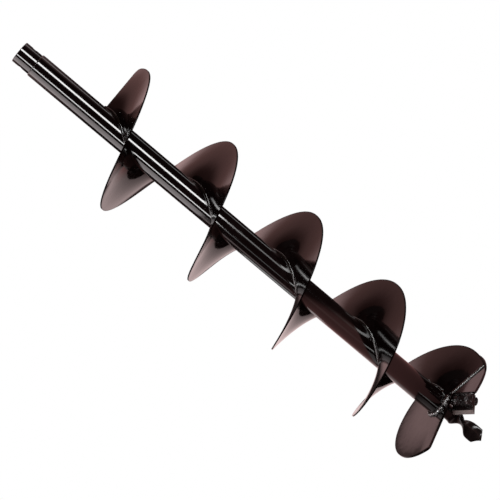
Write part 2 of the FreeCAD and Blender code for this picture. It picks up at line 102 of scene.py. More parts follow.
# Waves that the press leaves in a flight: (height, waves per radian, phase, phase step per section)
PRESS_WAVES = ((0.0004, 2.3, 0.6, 0.0), (0.00022, 5.1, 0.0, 1.9))

# Beads: how convex, how far a ripple trails at the crown, and how unevenly they swell
FILLET_CHORD = 0.82
FILLET_BULGE = 0.06
ROUND_LAG = 0.0012
STRAIGHT_LAG = 0.0011
MEAN_SWELL = 0.95
PLATE_WELD_LUMPS = 0.16
MOUTH_WELD_LUMPS = 0.12
FOOT_VOXEL = 0.0006
FOOT_LUMP = 0.0008

# Spatter beside the root welds: how many beads, over which turns in radians, their radii, and how far
# from the root they lie out on the flight and up the tube
SPATTER_COUNT = 130
SPATTER_TURNS = (0.1, 25.0)
SPATTER_RADII = (0.0003, 0.0009)
SPATTER_FLATNESS = (0.5, 0.9)
SPATTER_OUT = (0.007, 0.022)
SPATTER_UP = (0.009, 0.022)

# Worn rims: (how far in from the flight radius the wear starts, over what distance it grows)
FLIGHT_WEAR = (0.0017, 0.0010)
PLATE_WEAR = (0.0012, 0.0004)

# Mesh fineness
MERGE_DISTANCE = 1e-6
FLAT_ANGLE = math.radians(0.3)
LATHE_STEPS = 256
DRILL_STEPS = 64
THREAD_STEPS = 72
THREAD_ROWS_PER_TURN = 14
RIM_POINTS = 7
FLIGHT_STEPS_PER_TURN = 360
FLIGHT_RINGS = 28
RIPPLE_LENGTH = 0.0028
STEPS_PER_RIPPLE = 6
BEAD_POINTS = 9

# Camera, in front of the auger and rolled so that the auger lies across the frame
CAMERA_PLACE = Vector((0.0, -2.7287, -0.2332))
CAMERA_AIM = Vector((-0.0079, 0.0, -0.6801))
CAMERA_ROLL = math.radians(-49.97)
CAMERA_LENS = 86.61
CAMERA_SENSOR = 36.0
CAMERA_CLIP = (0.05, 200.0)

# Colours that the sky and the floor light by. The camera sees both as plain white.
LOW_SKY = (0.84, 0.55, 0.54)
HIGH_SKY = (0.46, 0.235, 0.22)
ZENITH = (0.14, 0.06, 0.055)
HORIZON = (0.03, 0.02, 0.02)
FRONT_SKY = (0.02, 0.012, 0.012)

# Where the sky's colours change: the sine of the height above the horizon, and the y of the direction
HORIZON_TO_LOW = (0.06, 0.24)
LOW_TO_HIGH = (0.34, 0.60)
HIGH_TO_ZENITH = (0.72, 0.95)
FRONT_TO_BACK = (-0.35, 0.12)

# The pool of light on the floor: its colours, and where it grows or fades
POOL_FRONT = (0.65, 0.29, 0.28)
POOL_BACK = (0.98, 0.75, 0.74)
POOL_EDGE = (0.05, 0.03, 0.03)
# Bands where the strip lights spill onto the floor: (azimuth, half-width in degrees, colour)
SPILLS = ((26, 12, (1.0, 0.66, 0.62)), (-36, 12, (0.85, 0.45, 0.43)), (72, 34, (0.10, 0.04, 0.03)))
POOL_SIDE = -0.6
POOL_RADIUS = 1.4
POOL_FADE = 0.7
POOL_FOOT_FADE = (0.15, 0.65)
POOL_BACK_NEAR = (0.0, 0.3)
POOL_BACK_FAR = (2.1, 2.9)
POOL_BACK_LEFT = (-1.1, -0.5)
POOL_BACK_RIGHT = (0.0, 0.4)
SPILL_START = (0.8, 1.3)
SPILL_CORE = 0.4
FLOOR_HALF_WIDTH = 30.0
FLOOR_DROP = 0.02
FLOOR_Z = CAD_BOX[0].z
WHITE = (1.0, 1.0, 1.0)

# Softboxes in front of the auger, each with a dim lower end, and weaker ones at its sides:
# (name, azimuth, distance, width, low z, high z, radiance, colour)
STRIPS = (
    ("right_key", 26, 2.6, 0.66, -0.85, 1.3, 23.0, WHITE),
    ("right_key_tail", 26, 2.6, 0.50, FLOOR_Z, -0.85, 3.4, WHITE),
    ("left_thin", -38.5, 2.6, 0.35, -0.85, 1.3, 18.0, WHITE),
    ("left_thin_tail", -44, 2.6, 0.30, FLOOR_Z, -0.85, 1.4, WHITE),
    ("left_wide", -88, 2.4, 2.3, -0.75, 1.3, 3.6, (1.0, 0.92, 0.93)),
    ("left_wide_tail", -98, 2.4, 0.7, FLOOR_Z, -0.75, 1.1, (1.0, 0.80, 0.80)),
    ("right_rim", 101, 2.6, 0.42, FLOOR_Z, 1.3, 2.0, WHITE),
    ("low_back", -133, 1.7, 0.9, FLOOR_Z, -0.95, 1.2, WHITE))

rng = np.random.default_rng(7)


# ---------------------------------------------------------------- mesh helpers

def mesh_from(name, points, faces):
    """A mesh with its normals made consistent."""
    mesh = bpy.data.meshes.new(name)
    mesh.from_pydata([tuple(p) for p in points], [], faces)
    work = bmesh.new()
    work.from_mesh(mesh)
    bmesh.ops.recalc_face_normals(work, faces=work.faces)
    work.to_mesh(mesh)
    work.free()
    return mesh


def add_piece(name, mesh, material, slot, *nodes, sharp_angle=35.0):
    """An object on the auger that stands for the given CAD nodes."""
    for polygon in mesh.polygons:
        polygon.use_smooth = True
    mesh.set_sharp_from_angle(angle=math.radians(sharp_angle))
    mesh.materials.clear()
    mesh.materials.append(material)
    piece = bpy.data.objects.new(name, mesh)
    bpy.context.scene.collection.objects.link(piece)
    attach(piece, BODY)
    if nodes:
        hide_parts(*nodes)
    return piece


def set_point_value(mesh, name, values):
    """Store one number per vertex, for a material to read."""
    attribute = mesh.attributes.new(name, "FLOAT", "POINT")
    attribute.data.foreach_set("value", np.asarray(values, np.float32))


def tube_faces(rows, columns, closed):
    """Quads of a swept loop of points, with flat caps, or joined end to end where it is closed."""
    faces = []
    for row in range(rows if closed else rows - 1):
        following = (row + 1) % rows
        for column in range(columns):
            side = (column + 1) % columns
            faces.append((row * columns + column, row * columns + side,
                          following * columns + side, following * columns + column))
    if not closed:
        faces.append(tuple(range(columns)))
        faces.append(tuple((rows - 1) * columns + column for column in range(columns)))
    return faces


def lathe(name, outline, steps=LATHE_STEPS):
    """A ring: a closed outline of (radius, z) points turned about the axis."""
    rows = []
    for step in range(steps):
        turn = FULL_TURN * step / steps
        rows += [(r * math.cos(turn), r * math.sin(turn), z) for r, z in outline]
    return mesh_from(name, rows, tube_faces(steps, len(outline), True))


def arc_points(centre, radius, start, end, count):
    """Points (radius, z) along a circular arc, its angles in degrees."""
    turns = np.radians(np.linspace(start, end, count))
    return [(centre[0] + radius * math.cos(t), centre[1] + radius * math.sin(t)) for t in turns]


def applied(mesh, *modifiers):
    """The mesh with modifiers applied. Each is (type, settings)."""
    holder = bpy.data.objects.new("work", mesh)
    bpy.context.scene.collection.objects.link(holder)
    for kind, settings in modifiers:
        modifier = holder.modifiers.new(kind, kind)
        for key, value in settings.items():
            setattr(modifier, key, value)
    graph = bpy.context.evaluated_depsgraph_get()
    made = bpy.data.meshes.new_from_object(holder.evaluated_get(graph))
    bpy.data.objects.remove(holder)
    return made


def drill(mesh, radius, place, direction, reach):
    """Cut a round hole right through a mesh."""
    work = bmesh.new()
    turn = direction.to_track_quat("Z", "Y").to_matrix().to_4x4()
    bmesh.ops.create_cone(work, cap_ends=True, segments=DRILL_STEPS, radius1=radius, radius2=radius,
                          depth=2 * reach, matrix=Matrix.Translation(place) @ turn)
    tool_mesh = bpy.data.meshes.new("tool")
    work.to_mesh(tool_mesh)
    work.free()
    tool = bpy.data.objects.new("tool", tool_mesh)
    bpy.context.scene.collection.objects.link(tool)
    cut = applied(mesh, ("BOOLEAN", {"operation": "DIFFERENCE", "object": tool, "solver": "EXACT"}))
    bpy.data.objects.remove(tool)
    return cut


def round_normals(mesh, level=0.01, radial=0.995):
    """Exact normals on the walls of a turned piece, so that long reflections stay straight."""
    mesh.set_sharp_from_angle(angle=math.radians(30))
    normals = [Vector(n.vector) for n in mesh.corner_normals]
    for polygon in mesh.polygons:
        out = Vector((polygon.center.x, polygon.center.y, 0))
        if out.length < MERGE_DISTANCE or abs(polygon.normal.z) > level:
            continue
        facing = polygon.normal.dot(out.normalized())
        if abs(facing) < radial:
            continue
        for corner in polygon.loop_indices:
            point = mesh.vertices[mesh.loops[corner].vertex_index].co
            normals[corner] = Vector((point.x, point.y, 0)).normalized() * math.copysign(1, facing)
    mesh.normals_split_custom_set([tuple(n) for n in normals])


def softened_copy(node, width, segments=2, angle=28.0):
    """A copy of a CAD node's mesh with its sharp edges rounded."""
    work = bmesh.new()
    work.from_mesh(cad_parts[node].data)
    bmesh.ops.remove_doubles(work, verts=work.verts, dist=MERGE_DISTANCE)
    bmesh.ops.dissolve_limit(work, angle_limit=FLAT_ANGLE, verts=work.verts, edges=work.edges)
    sharp = [e for e in work.edges
             if len(e.link_faces) == 2 and e.calc_face_angle() > math.radians(angle)]
    bmesh.ops.bevel(work, geom=sharp, offset=width, segments=segments, profile=0.6, affect="EDGES",
                    clamp_overlap=True)
    bmesh.ops.triangulate(work, faces=[f for f in work.faces if len(f.verts) > 4])
    mesh = bpy.data.meshes.new(node + "_mesh")
    work.to_mesh(mesh)
    work.free()
    for polygon in mesh.polygons:
        polygon.use_smooth = True
    return applied(mesh, ("WEIGHTED_NORMAL", {"weight": 100, "keep_sharp": False}))


# ---------------------------------------------------------------- materials

class Nodes:
    """A short way to write a node tree."""

    def __init__(self, material):
        material.use_nodes = True
        self.tree = material.node_tree
        self.tree.nodes.clear()
        self.output = self.add("ShaderNodeOutputMaterial")
        self.shader = self.add("ShaderNodeBsdfPrincipled")
        self.link(self.shader.outputs["BSDF"], self.output.inputs["Surface"])
        self.place = self.add("ShaderNodeTexCoord").outputs["Object"]

    def add(self, kind, **settings):
        node = self.tree.nodes.new(kind)
        for key, value in settings.items():
            setattr(node, key, value)
        return node

    def link(self, source, target):
        self.tree.links.new(source, target)

    def noise(self, scale, detail=3.0, roughness=0.5, stretch=None):
        """Noise over the object's own coordinates."""
        node = self.add("ShaderNodeTexNoise")
        node.inputs["Scale"].default_value = scale
        node.inputs["Detail"].default_value = detail
        node.inputs["Roughness"].default_value = roughness
        source = self.place
        if stretch:
            mapping = self.add("ShaderNodeMapping")
            mapping.inputs["Scale"].default_value = stretch
            self.link(source, mapping.inputs["Vector"])
            source = mapping.outputs["Vector"]
        self.link(source, node.inputs["Vector"])
        return node.outputs["Fac"]

    def span(self, value, low, high, to_low, to_high):
        """Map a value from one range to another, clamped."""
        node = self.add("ShaderNodeMapRange")
        limits = (("From Min", low), ("From Max", high), ("To Min", to_low), ("To Max", to_high))
        for name, number in limits:
            node.inputs[name].default_value = number
        self.link(value, node.inputs["Value"])
        return node.outputs["Result"]

    def math(self, operation, first, second):
        node = self.add("ShaderNodeMath", operation=operation)
        for socket, value in zip(node.inputs, (first, second)):
            if isinstance(value, (int, float)):
                socket.default_value = value
            else:
                self.link(value, socket)
        return node.outputs["Value"]

    def mix(self, share, first, second):
        """Mix two colours. Each is a colour or a socket."""
        node = self.add("ShaderNodeMix", data_type="RGBA")
        for index, value in ((6, first), (7, second)):
            if isinstance(value, tuple):
                node.inputs[index].default_value = (*value, 1.0)
            else:
                self.link(value, node.inputs[index])
        self.link(share, node.inputs[0])
        return node.outputs[2]

    def bump(self, height, distance, strength=1.0, normal=None):
        node = self.add("ShaderNodeBump")
        node.inputs["Distance"].default_value = distance
        node.inputs["Strength"].default_value = strength
        self.link(height, node.inputs["Height"])
        if normal:
            self.link(normal, node.inputs["Normal"])
        return node.outputs["Normal"]

    def point_value(self, name):
        return self.add("ShaderNodeAttribute", attribute_name=name).outputs["Fac"]


# Scales of the paint's noises, and depths of its bumps
CLOUD_SCALE, DUST_SCALE, SPECK_SCALE, SCUFF_SCALE = 9.0, 60.0, 420.0, 26.0
WAVE_SCALE, LUMP_SCALE, PEEL_SCALE = 38.0, 170.0, 900.0
WAVE_DEPTH, PEEL_DEPTH = 0.0009, 0.00006
SPECK_BRIGHTNESS = 2.2
SCUFF_ROUGHNESS = 0.08
GROUND_ROUGHNESS = 0.2


def gloss_paint(name, base, dusty, roughness, peel, shine=0.5, rim_shine=None, lump=0.0,
                ground_and_sheen_colour=None):
    """Gloss black paint over steel: orange peel, faint dust and handling marks, duller rims, weld lumps,
    and, where a ground colour is given, a lighter ground bevel that is partly bare steel and partly a
    painted highlight.
    """
    material = bpy.data.materials.new(name)
    nodes = Nodes(material)
    shader = nodes.shader
    cloudy = nodes.noise(CLOUD_SCALE, 4.0, 0.6)
    dust = nodes.noise(DUST_SCALE, 6.0, 0.7)
    fine = nodes.noise(SPECK_SCALE, 4.0, 0.65)
    share = nodes.math("MULTIPLY", nodes.span(cloudy, 0.42, 0.70, 0.0, 1.0),
                       nodes.span(dust, 0.35, 0.75, 0.2, 1.0))
    colour = nodes.mix(share, base, dusty)
    speck = nodes.span(fine, 0.68, 0.76, 0.0, 0.25)
    colour = nodes.mix(speck, colour, tuple(min(1.0, SPECK_BRIGHTNESS * c) for c in dusty))
    scuffs = nodes.noise(SCUFF_SCALE, 5.0, 0.75, stretch=(1.0, 1.0, 7.0))
    rough = nodes.span(nodes.math("ADD", scuffs, nodes.math("MULTIPLY", dust, 0.5)), 0.55, 1.0,
                       roughness, roughness + SCUFF_ROUGHNESS)
    # The blade's ground bevel gets a lighter colour: partly bare ground steel, partly a painted highlight
    # that stands in for the bright reflection along the bevel.
    if ground_and_sheen_colour:
        ground_and_sheen_share = nodes.math("MULTIPLY", nodes.point_value("wear_and_sheen"), nodes.span(dust, 0.25, 0.55, 0.75, 1.0))
        colour = nodes.mix(ground_and_sheen_share, colour, ground_and_sheen_colour)
        rough = nodes.math("ADD", rough, nodes.math("MULTIPLY", ground_and_sheen_share, GROUND_ROUGHNESS))
    nodes.link(colour, shader.inputs["Base Color"])
    nodes.link(rough, shader.inputs["Roughness"])
    if rim_shine is None:
        shader.inputs["Specular IOR Level"].default_value = shine
    else:
        edge = nodes.math("ADD", nodes.point_value("wear_and_sheen"), nodes.math("MULTIPLY", dust, 0.3))
        nodes.link(nodes.span(edge, 0.5, 1.1, shine, rim_shine), shader.inputs["Specular IOR Level"])
    broad = nodes.bump(nodes.noise(WAVE_SCALE, 2.0, 0.5), WAVE_DEPTH, peel)
    if lump:
        broad = nodes.bump(nodes.noise(LUMP_SCALE, 2.0, 0.5), lump, 1.0, broad)
    peeled = nodes.bump(nodes.noise(PEEL_SCALE, 2.0, 0.5), PEEL_DEPTH, peel, broad)
    nodes.link(peeled, shader.inputs["Normal"])
    return material


def bare_steel(name, dark, light, roughness):
    """Machined steel with a thin film of oil and a little rust."""
    material = bpy.data.materials.new(name)
    nodes = Nodes(material)
    shader = nodes.shader
    grain = nodes.noise(240.0, 5.0, 0.7, stretch=(1.0, 1.0, 0.12))
    rust = nodes.span(nodes.noise(70.0, 6.0, 0.75), 0.58, 0.72, 0.0, 0.55)
    colour = nodes.mix(grain, dark, light)
    colour = nodes.mix(rust, colour, (0.10, 0.035, 0.015))
    nodes.link(colour, shader.inputs["Base Color"])
    shader.inputs["Metallic"].default_value = 0.9
    nodes.link(nodes.span(grain, 0.3, 0.7, roughness, roughness + 0.18), shader.inputs["Roughness"])
    nodes.link(nodes.bump(grain, 0.00008, 0.6), shader.inputs["Normal"])
    return material


TUBE_PAINT = gloss_paint(
    "tube_gloss_black", (0.0010, 0.0003, 0.0003), (0.004, 0.002, 0.002), 0.06, 0.04)
FLIGHT_PAINT = gloss_paint(
    "flight_gloss_black", (0.0010, 0.0004, 0.0004), (0.004, 0.0022, 0.0022), 0.06, 0.22, rim_shine=0.03)
WELD_PAINT = gloss_paint(
    "weld_gloss_black", (0.003, 0.0018, 0.0016), (0.012, 0.008, 0.007), 0.06, 0.3, shine=1.0, lump=0.0006)
ROOT_PAINT = gloss_paint(
    "root_weld_gloss_black", (0.002, 0.0012, 0.0010), (0.008, 0.005, 0.004), 0.10, 0.15)
# Its lighter colour on the ground bevel is partly bare steel and partly a painted highlight.
BLADE_PAINT = gloss_paint(
    "blade_gloss_black", (0.005, 0.003, 0.003), (0.018, 0.012, 0.011), 0.16, 0.2, shine=0.25,
    ground_and_sheen_colour=(0.13, 0.105, 0.10))
PILOT_PAINT = gloss_paint(
    "pilot_worn_black", (0.004, 0.0024, 0.0024), (0.016, 0.011, 0.010), 0.12, 0.5, shine=0.22)
BOLT_STEEL = gloss_paint(
    "bolt_painted_steel", (0.006, 0.004, 0.004), (0.024, 0.018, 0.017), 0.10, 0.12, shine=0.8)
INNER_STEEL = bare_steel("inner_steel", (0.16, 0.155, 0.15), (0.34, 0.33, 0.32), 0.30)


# ---------------------------------------------------------------- tube and socket

def node_size(node):
    """(outer radius, low z, high z) of a node on the axis."""
    low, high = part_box(node)
    return (high.x - low.x) / 2, low.z, high.z


TUBE_RADIUS, TUBE_LOW, TUBE_HIGH = node_size("centre_tube")
SOCKET_RADIUS, SOCKET_LOW, SOCKET_HIGH = node_size("drive_socket")
FLIGHT_RADIUS = node_size("flight_2")[0]


def rounded_ring(radius, bore, low, high, ease_top, ease_low, steps=5):
    """The closed outline of a tube's wall with rounded rims."""
    outline = arc_points((radius - ease_low, low + ease_low), ease_low, -90, 0, steps)
    outline += arc_points((radius - ease_top, high - ease_top), ease_top, 0, 90, steps)
    outline += arc_points((bore + BORE_EASE, high - BORE_EASE), BORE_EASE, 90, 180, 3)
    outline += arc_points((bore + BORE_EASE, low + BORE_EASE), BORE_EASE, 180, 270, 3)
    return outline


def centre_tube():
    bore = TUBE_RADIUS - TUBE_WALL
    outline = rounded_ring(TUBE_RADIUS, bore, TUBE_LOW, TUBE_HIGH, TUBE_TOP_EASE, END_EASE)
    mesh = lathe("centre_tube_wall", outline)
    low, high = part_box("pilot_pin")
    mesh = drill(mesh, PIN_HOLE_RADIUS, (low + high) / 2, ACROSS_TUBE, 2 * TUBE_RADIUS)
    round_normals(mesh)
    return add_piece("centre_tube_wall", mesh, TUBE_PAINT, "tube_paint", "centre_tube", sharp_angle=180)


def drive_socket():
    outline = rounded_ring(SOCKET_RADIUS, SOCKET_BORE_RADIUS, SOCKET_LOW, SOCKET_HIGH,
                           SOCKET_MOUTH_EASE, END_EASE, steps=7)
    mesh = lathe("drive_socket_sleeve", outline)
    place = Vector((0, 0, SOCKET_HIGH - DRIVE_HOLE_DEPTH))
    mesh = drill(mesh, DRIVE_HOLE_RADIUS, place, ACROSS_TUBE, 2 * SOCKET_RADIUS)
    round_normals(mesh)
    return add_piece("drive_socket_sleeve", mesh, TUBE_PAINT, "tube_paint", "drive_socket", sharp_angle=180)


# ---------------------------------------------------------------- flighting

class Helix:
    """The flighting's mid-plane, measured from where the first section starts."""

    def __init__(self):
        top = max((v.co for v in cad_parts["flight_1"].data.vertices), key=lambda co: co.z)
        self.start_angle = math.atan2(top.y, top.x)
        self.start_z = top.z - FLIGHT_THICKNESS / 2

    def turn_at(self, z):
        """How far below its start, in radians, the mid-plane is at a height."""
        return FULL_TURN * (self.start_z - z) / FLIGHT_PITCH

    def points(self, turn, radius, rise):
        """Points at a turn below the start, at a radius, a rise above the mid-plane."""
        angle = self.start_angle - turn
        radius, rise = np.broadcast_arrays(radius, rise)
        z = self.start_z - FLIGHT_PITCH * turn / FULL_TURN + rise
        return np.stack([radius * np.cos(angle), radius * np.sin(angle), z], axis=-1)


HELIX = Helix()


def flight(index):
    """One section: a formed sheet with a rounded rim, a little uneven from the press."""
    node = "flight_%d" % index
    radius = FLIGHT_RADIUS
    _, low, high = node_size(node)
    half = FLIGHT_THICKNESS / 2
    start, end = HELIX.turn_at(high - half), HELIX.turn_at(low + half)
    count = int(FLIGHT_STEPS_PER_TURN * (end - start) / FULL_TURN)
    turns = np.linspace(start, end, count)
    inner = TUBE_RADIUS + FLIGHT_GAP
    across = np.linspace(0, 1, FLIGHT_RINGS)
    flat = np.zeros(FLIGHT_RINGS)
    rim_turns = np.radians(np.linspace(90, -90, RIM_POINTS))
    share = np.concatenate([across, np.ones(RIM_POINTS), across[::-1]])
    inset = np.concatenate([flat, RIM_EASE * (np.cos(rim_turns) - 1), flat])
    rise = np.concatenate([flat + half, half * np.sin(rim_turns), flat - half])
    rows = []
    for turn in turns:
        reach = radius - RIM_EASE
        along = turn * radius
        if index == 1 and along < START_CORNER_RADIUS:
            left = START_CORNER_RADIUS - along
            reach -= START_CORNER_RADIUS - math.sqrt(START_CORNER_RADIUS ** 2 - left ** 2)
        radii = inner + (reach - inner) * share + RIM_EASE + inset
        radii[share < 1] -= RIM_EASE
        ramp = ((radii - inner) / (radius - inner)) ** 2
        wave = sum(height * math.sin(rate * turn + phase + step * index)
                   for height, rate, phase, step in PRESS_WAVES)
        rows.append(HELIX.points(turn, radii, rise + wave * ramp))
    points = np.concatenate(rows)
    mesh = mesh_from(node + "_sheet", points, tube_faces(len(turns), len(share), False))
    distance = np.hypot(points[:, 0], points[:, 1])
    width, blend = FLIGHT_WEAR
    set_point_value(mesh, "wear_and_sheen", np.clip((distance - (radius - width)) / blend, 0, 1))
    return add_piece(node + "_sheet", mesh, FLIGHT_PAINT, "flight_paint", node, sharp_angle=50)


# ---------------------------------------------------------------- welds

def weld_swell(along, seed):
    """How much a bead swells along its length: overlapping ripples and slow lumps."""
    ripple = (along / RIPPLE_LENGTH) % 1.0
    crest = 1 - (2 * ripple - 1) ** 2
    lumps = np.sin(along * 310 + seed) * 0.5 + np.sin(along * 137 + 2.1 * seed) * 0.5
    return MEAN_SWELL + 0.035 * crest + 0.06 * lumps


def fillet_profile(leg):
    """Points across a convex fillet bead: (away from the wall, up the wall), the corner last."""
    turns = np.radians(np.linspace(0, 90, BEAD_POINTS))
    bulge = FILLET_CHORD + FILLET_BULGE * np.sin(2 * turns)
    away = leg * np.cos(turns) * bulge / FILLET_CHORD
    up = leg * np.sin(turns) * bulge / FILLET_CHORD
    return np.append(away, 0.0), np.append(up, 0.0)


def helix_weld(index):
    """The bead along the inner edge of one section, on its upper face."""
    node = "root_weld_%d" % index
    _, low, high = node_size(node)
    half = FLIGHT_THICKNESS / 2
    start = HELIX.turn_at(high - half - ROOT_WELD_LEG)
    end = HELIX.turn_at(low - half)
    per_turn = math.hypot(FULL_TURN * TUBE_RADIUS, FLIGHT_PITCH)
    length = per_turn * (end - start) / FULL_TURN
    count = int(length / RIPPLE_LENGTH * STEPS_PER_RIPPLE)
    away, up = fillet_profile(ROOT_WELD_LEG)
    lag = ROUND_LAG * np.append(np.sin(np.radians(np.linspace(0, 180, BEAD_POINTS))), 0.0)
    rows = []
    for turn in np.linspace(start, end, count):
        along = turn / FULL_TURN * per_turn
        swell = weld_swell(along + lag, index)
        finish = min(1.0, (turn - start) * 25 + 0.25, (end - turn) * 25 + 0.25)
        radii = TUBE_RADIUS + away * swell * finish
        rows.append(HELIX.points(turn, radii, half + up * swell * finish))
    mesh = mesh_from(node + "_bead", np.concatenate(rows), tube_faces(count, len(away), False))
    return add_piece(node + "_bead", mesh, ROOT_PAINT, "weld_paint", node, sharp_angle=80)


def ring_bead(node, radius, z, leg, side, start=0.0, sweep=FULL_TURN, lumpiness=0.07):
    """A fillet bead round a cylinder, above (+1) or below (-1) the plane z."""
    away, up = fillet_profile(leg)
    closed = sweep > FULL_TURN - 1e-6
    ripples = max(8, round(sweep * (radius + leg) / RIPPLE_LENGTH))
    count = ripples * STEPS_PER_RIPPLE
    lag = ROUND_LAG * np.sin(np.append(np.linspace(0, math.pi, BEAD_POINTS), 0.0))
    tilt = np.append(np.linspace(-1.2, 1.2, BEAD_POINTS), 0.0)
    rows = []
    for turn in np.linspace(0, sweep, count, endpoint=not closed):
        along = turn / sweep * ripples * RIPPLE_LENGTH
        crest = 1 - (2 * (((along + lag) / RIPPLE_LENGTH) % 1.0) - 1) ** 2
        lumps = (0.45 * np.sin(8 * turn + leg * 900 + tilt) + 0.35 * np.sin(19 * turn + 1.3 - tilt)
                 + 0.2 * np.sin(31 * turn + 0.4 + 2 * tilt))
        swell = MEAN_SWELL + 0.07 * crest - lumpiness + lumpiness * lumps
        finish = 1.0 if closed else min(1.0, turn * 8 + 0.25, (sweep - turn) * 8 + 0.25)
        angle = start + turn
        radii = radius + away * swell * finish
        heights = z + side * up * swell * finish
        rows.append(np.stack([radii * math.cos(angle), radii * math.sin(angle), heights], axis=-1))
    mesh = mesh_from(node + "_bead", np.concatenate(rows), tube_faces(count, len(away), closed))
    return add_piece(node + "_bead", mesh, WELD_PAINT, "weld_paint", node, sharp_angle=80)


def straight_bead(node, first, last, sideways, upward, leg, flat=False):
    """A bead along a straight joint: a fillet, or a low crown across a butt joint."""
    if flat:
        turns = np.radians(np.linspace(0, 180, BEAD_POINTS))
        away, up = leg * np.cos(turns), 0.5 * leg * np.sin(turns)
    else:
        away, up = fillet_profile(leg)
    line = last - first
    count = int(line.length / RIPPLE_LENGTH * STEPS_PER_RIPPLE)
    lag = STRAIGHT_LAG * np.sin(np.linspace(0, math.pi, len(away)))
    rows = []
    for step in range(count):
        share = step / (count - 1)
        along = share * line.length
        swell = weld_swell(along + lag, leg * 1000)
        finish = min(1.0, 0.3 + along / leg * 0.7, 0.3 + (line.length - along) / leg * 0.7)
        centre = first + line * share
        offset = np.outer(away * swell * finish, sideways) + np.outer(up * swell * finish, upward)
        rows.append(np.array(centre) + offset)
    mesh = mesh_from(node + "_bead", np.concatenate(rows), tube_faces(count, len(away), False))
    return add_piece(node + "_bead", mesh, WELD_PAINT, "weld_paint", node, sharp_angle=80)


def seam_weld(index):
    """The low bead across the top of one butt joint."""
    node = "seam_weld_%d" % index
    low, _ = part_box("flight_%d" % index)
    half = FLIGHT_THICKNESS / 2
    turn = HELIX.turn_at(low.z + half)
    inner, outer = TUBE_RADIUS + ROOT_WELD_LEG + SEAM_GAPS[0], FLIGHT_RADIUS - SEAM_GAPS[1]
    first = Vector(HELIX.points(turn, np.array([inner]), half)[0])
    last = Vector(HELIX.points(turn, np.array([outer]), half)[0])
    angle = HELIX.start_angle - turn
    tangent = Vector((math.sin(angle), -math.cos(angle), 0))
    return straight_bead(node, first, last, tangent, UP, SEAM_WELD_LEG, flat=True)


def spatter():
    """Small beads of spatter beside the root welds."""
    work = bmesh.new()
    for _ in range(SPATTER_COUNT):
        turn = rng.uniform(*SPATTER_TURNS)
        size = rng.uniform(*SPATTER_RADII)
        if rng.random() < 0.5:
            radius, rise = TUBE_RADIUS + rng.uniform(*SPATTER_OUT), FLIGHT_THICKNESS / 2
        else:
            radius, rise = TUBE_RADIUS, rng.uniform(*SPATTER_UP)
        place = HELIX.points(turn, np.array([radius]), rise)[0]
        flatness = rng.uniform(*SPATTER_FLATNESS)
        shape = Matrix.Translation(Vector(place)) @ Matrix.Diagonal((1, 1, flatness, 1))
        bmesh.ops.create_icosphere(work, subdivisions=2, radius=size, matrix=shape)
    mesh = bpy.data.meshes.new("weld_spatter")
    work.to_mesh(mesh)
    work.free()
    return add_piece("weld_spatter", mesh, WELD_PAINT, "weld_paint", sharp_angle=80)


# ---------------------------------------------------------------- plate, blade and pilot

def node_points(node):
    """The vertices of a CAD node."""
    return np.array([v.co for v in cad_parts[node].data.vertices])


class LeadingEdge:
    """Axes of the base plate's leading edge, read from the bead that runs along it."""

    def __init__(self):
        points = node_points("holder_weld")
        reach = np.hypot(points[:, 0], points[:, 1])
        near = points[reach < reach.mean()]
        far = points[reach >= reach.mean()]
        self.first, self.last = (Vector(sorted(end, key=lambda p: p[2])[len(end) // 2])
                                 for end in (near, far))
        lowest = Vector(min(near, key=lambda p: p[2]))
        self.out = (self.last - self.first).normalized()
        self.slope = (lowest - self.first).normalized()
        self.normal = self.slope.cross(self.out).normalized()
        if self.normal.z < 0:
            self.normal.negate()


EDGE = LeadingEdge()


def lumpy_copy(node, voxel, lump):
    """A CAD node's mesh turned into a weld lump: rounded all over and uneven."""
    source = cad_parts[node].data.copy()
    mesh = applied(source, ("REMESH", {"mode": "VOXEL", "voxel_size": voxel}),
                   ("SMOOTH", {"factor": 0.5, "iterations": 8}))
    for vertex in mesh.vertices:
        p = vertex.co * 1000
        wave = (math.sin(0.9 * p.x + 0.5 * p.y) + math.sin(0.8 * p.y - 0.7 * p.z + 1.1)
                + math.sin(1.3 * p.z + p.x))
        vertex.co += vertex.normal * lump * wave / 3
    return mesh


def foot_welds():
    """The beads that join the plate to the tube, the last flight and the blade's holder."""
    plate_low, plate_high = (corner.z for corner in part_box("base_plate"))
    last_flight = "flight_%d" % FLIGHT_SECTIONS
    end_turn = HELIX.turn_at(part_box(last_flight)[0].z + FLIGHT_THICKNESS / 2)
    end_angle = HELIX.start_angle - end_turn
    clear = FULL_TURN * (PLATE_WELD_LEG + FLIGHT_THICKNESS) / FLIGHT_PITCH
    ring_bead("plate_upper_weld", TUBE_RADIUS, plate_high, PLATE_WELD_LEG, 1, end_angle + clear,
              (MOUTH_ANGLE - RING_WELD_GAP - end_angle - clear) % FULL_TURN, PLATE_WELD_LUMPS)
    ring_bead("mouth_weld", TUBE_RADIUS, plate_high, MOUTH_WELD_LEG, 1, MOUTH_ANGLE,
              (end_angle - MOUTH_ANGLE) % FULL_TURN - RING_WELD_GAP, MOUTH_WELD_LUMPS)
    ring_bead("plate_lower_weld", TUBE_RADIUS, plate_low, LOWER_WELD_LEG, -1)

    spoke = Vector((math.cos(end_angle), math.sin(end_angle), 0))
    tangent = Vector((math.sin(end_angle), -math.cos(end_angle), 0))
    top = UP * plate_high
    first = spoke * (TUBE_RADIUS + MOUTH_WELD_LEG + END_WELD_GAPS[0]) + top
    last = spoke * (FLIGHT_RADIUS - END_WELD_GAPS[1]) + top
    straight_bead("flight_end_weld", first, last, tangent, UP, END_WELD_LEG)
    straight_bead("holder_weld", EDGE.first, EDGE.last, EDGE.slope, UP, HOLDER_WELD_LEG)
    add_piece("foot_weld_lump", lumpy_copy("foot_weld", FOOT_VOXEL, FOOT_LUMP), WELD_PAINT, "weld_paint",
              "foot_weld", sharp_angle=80)


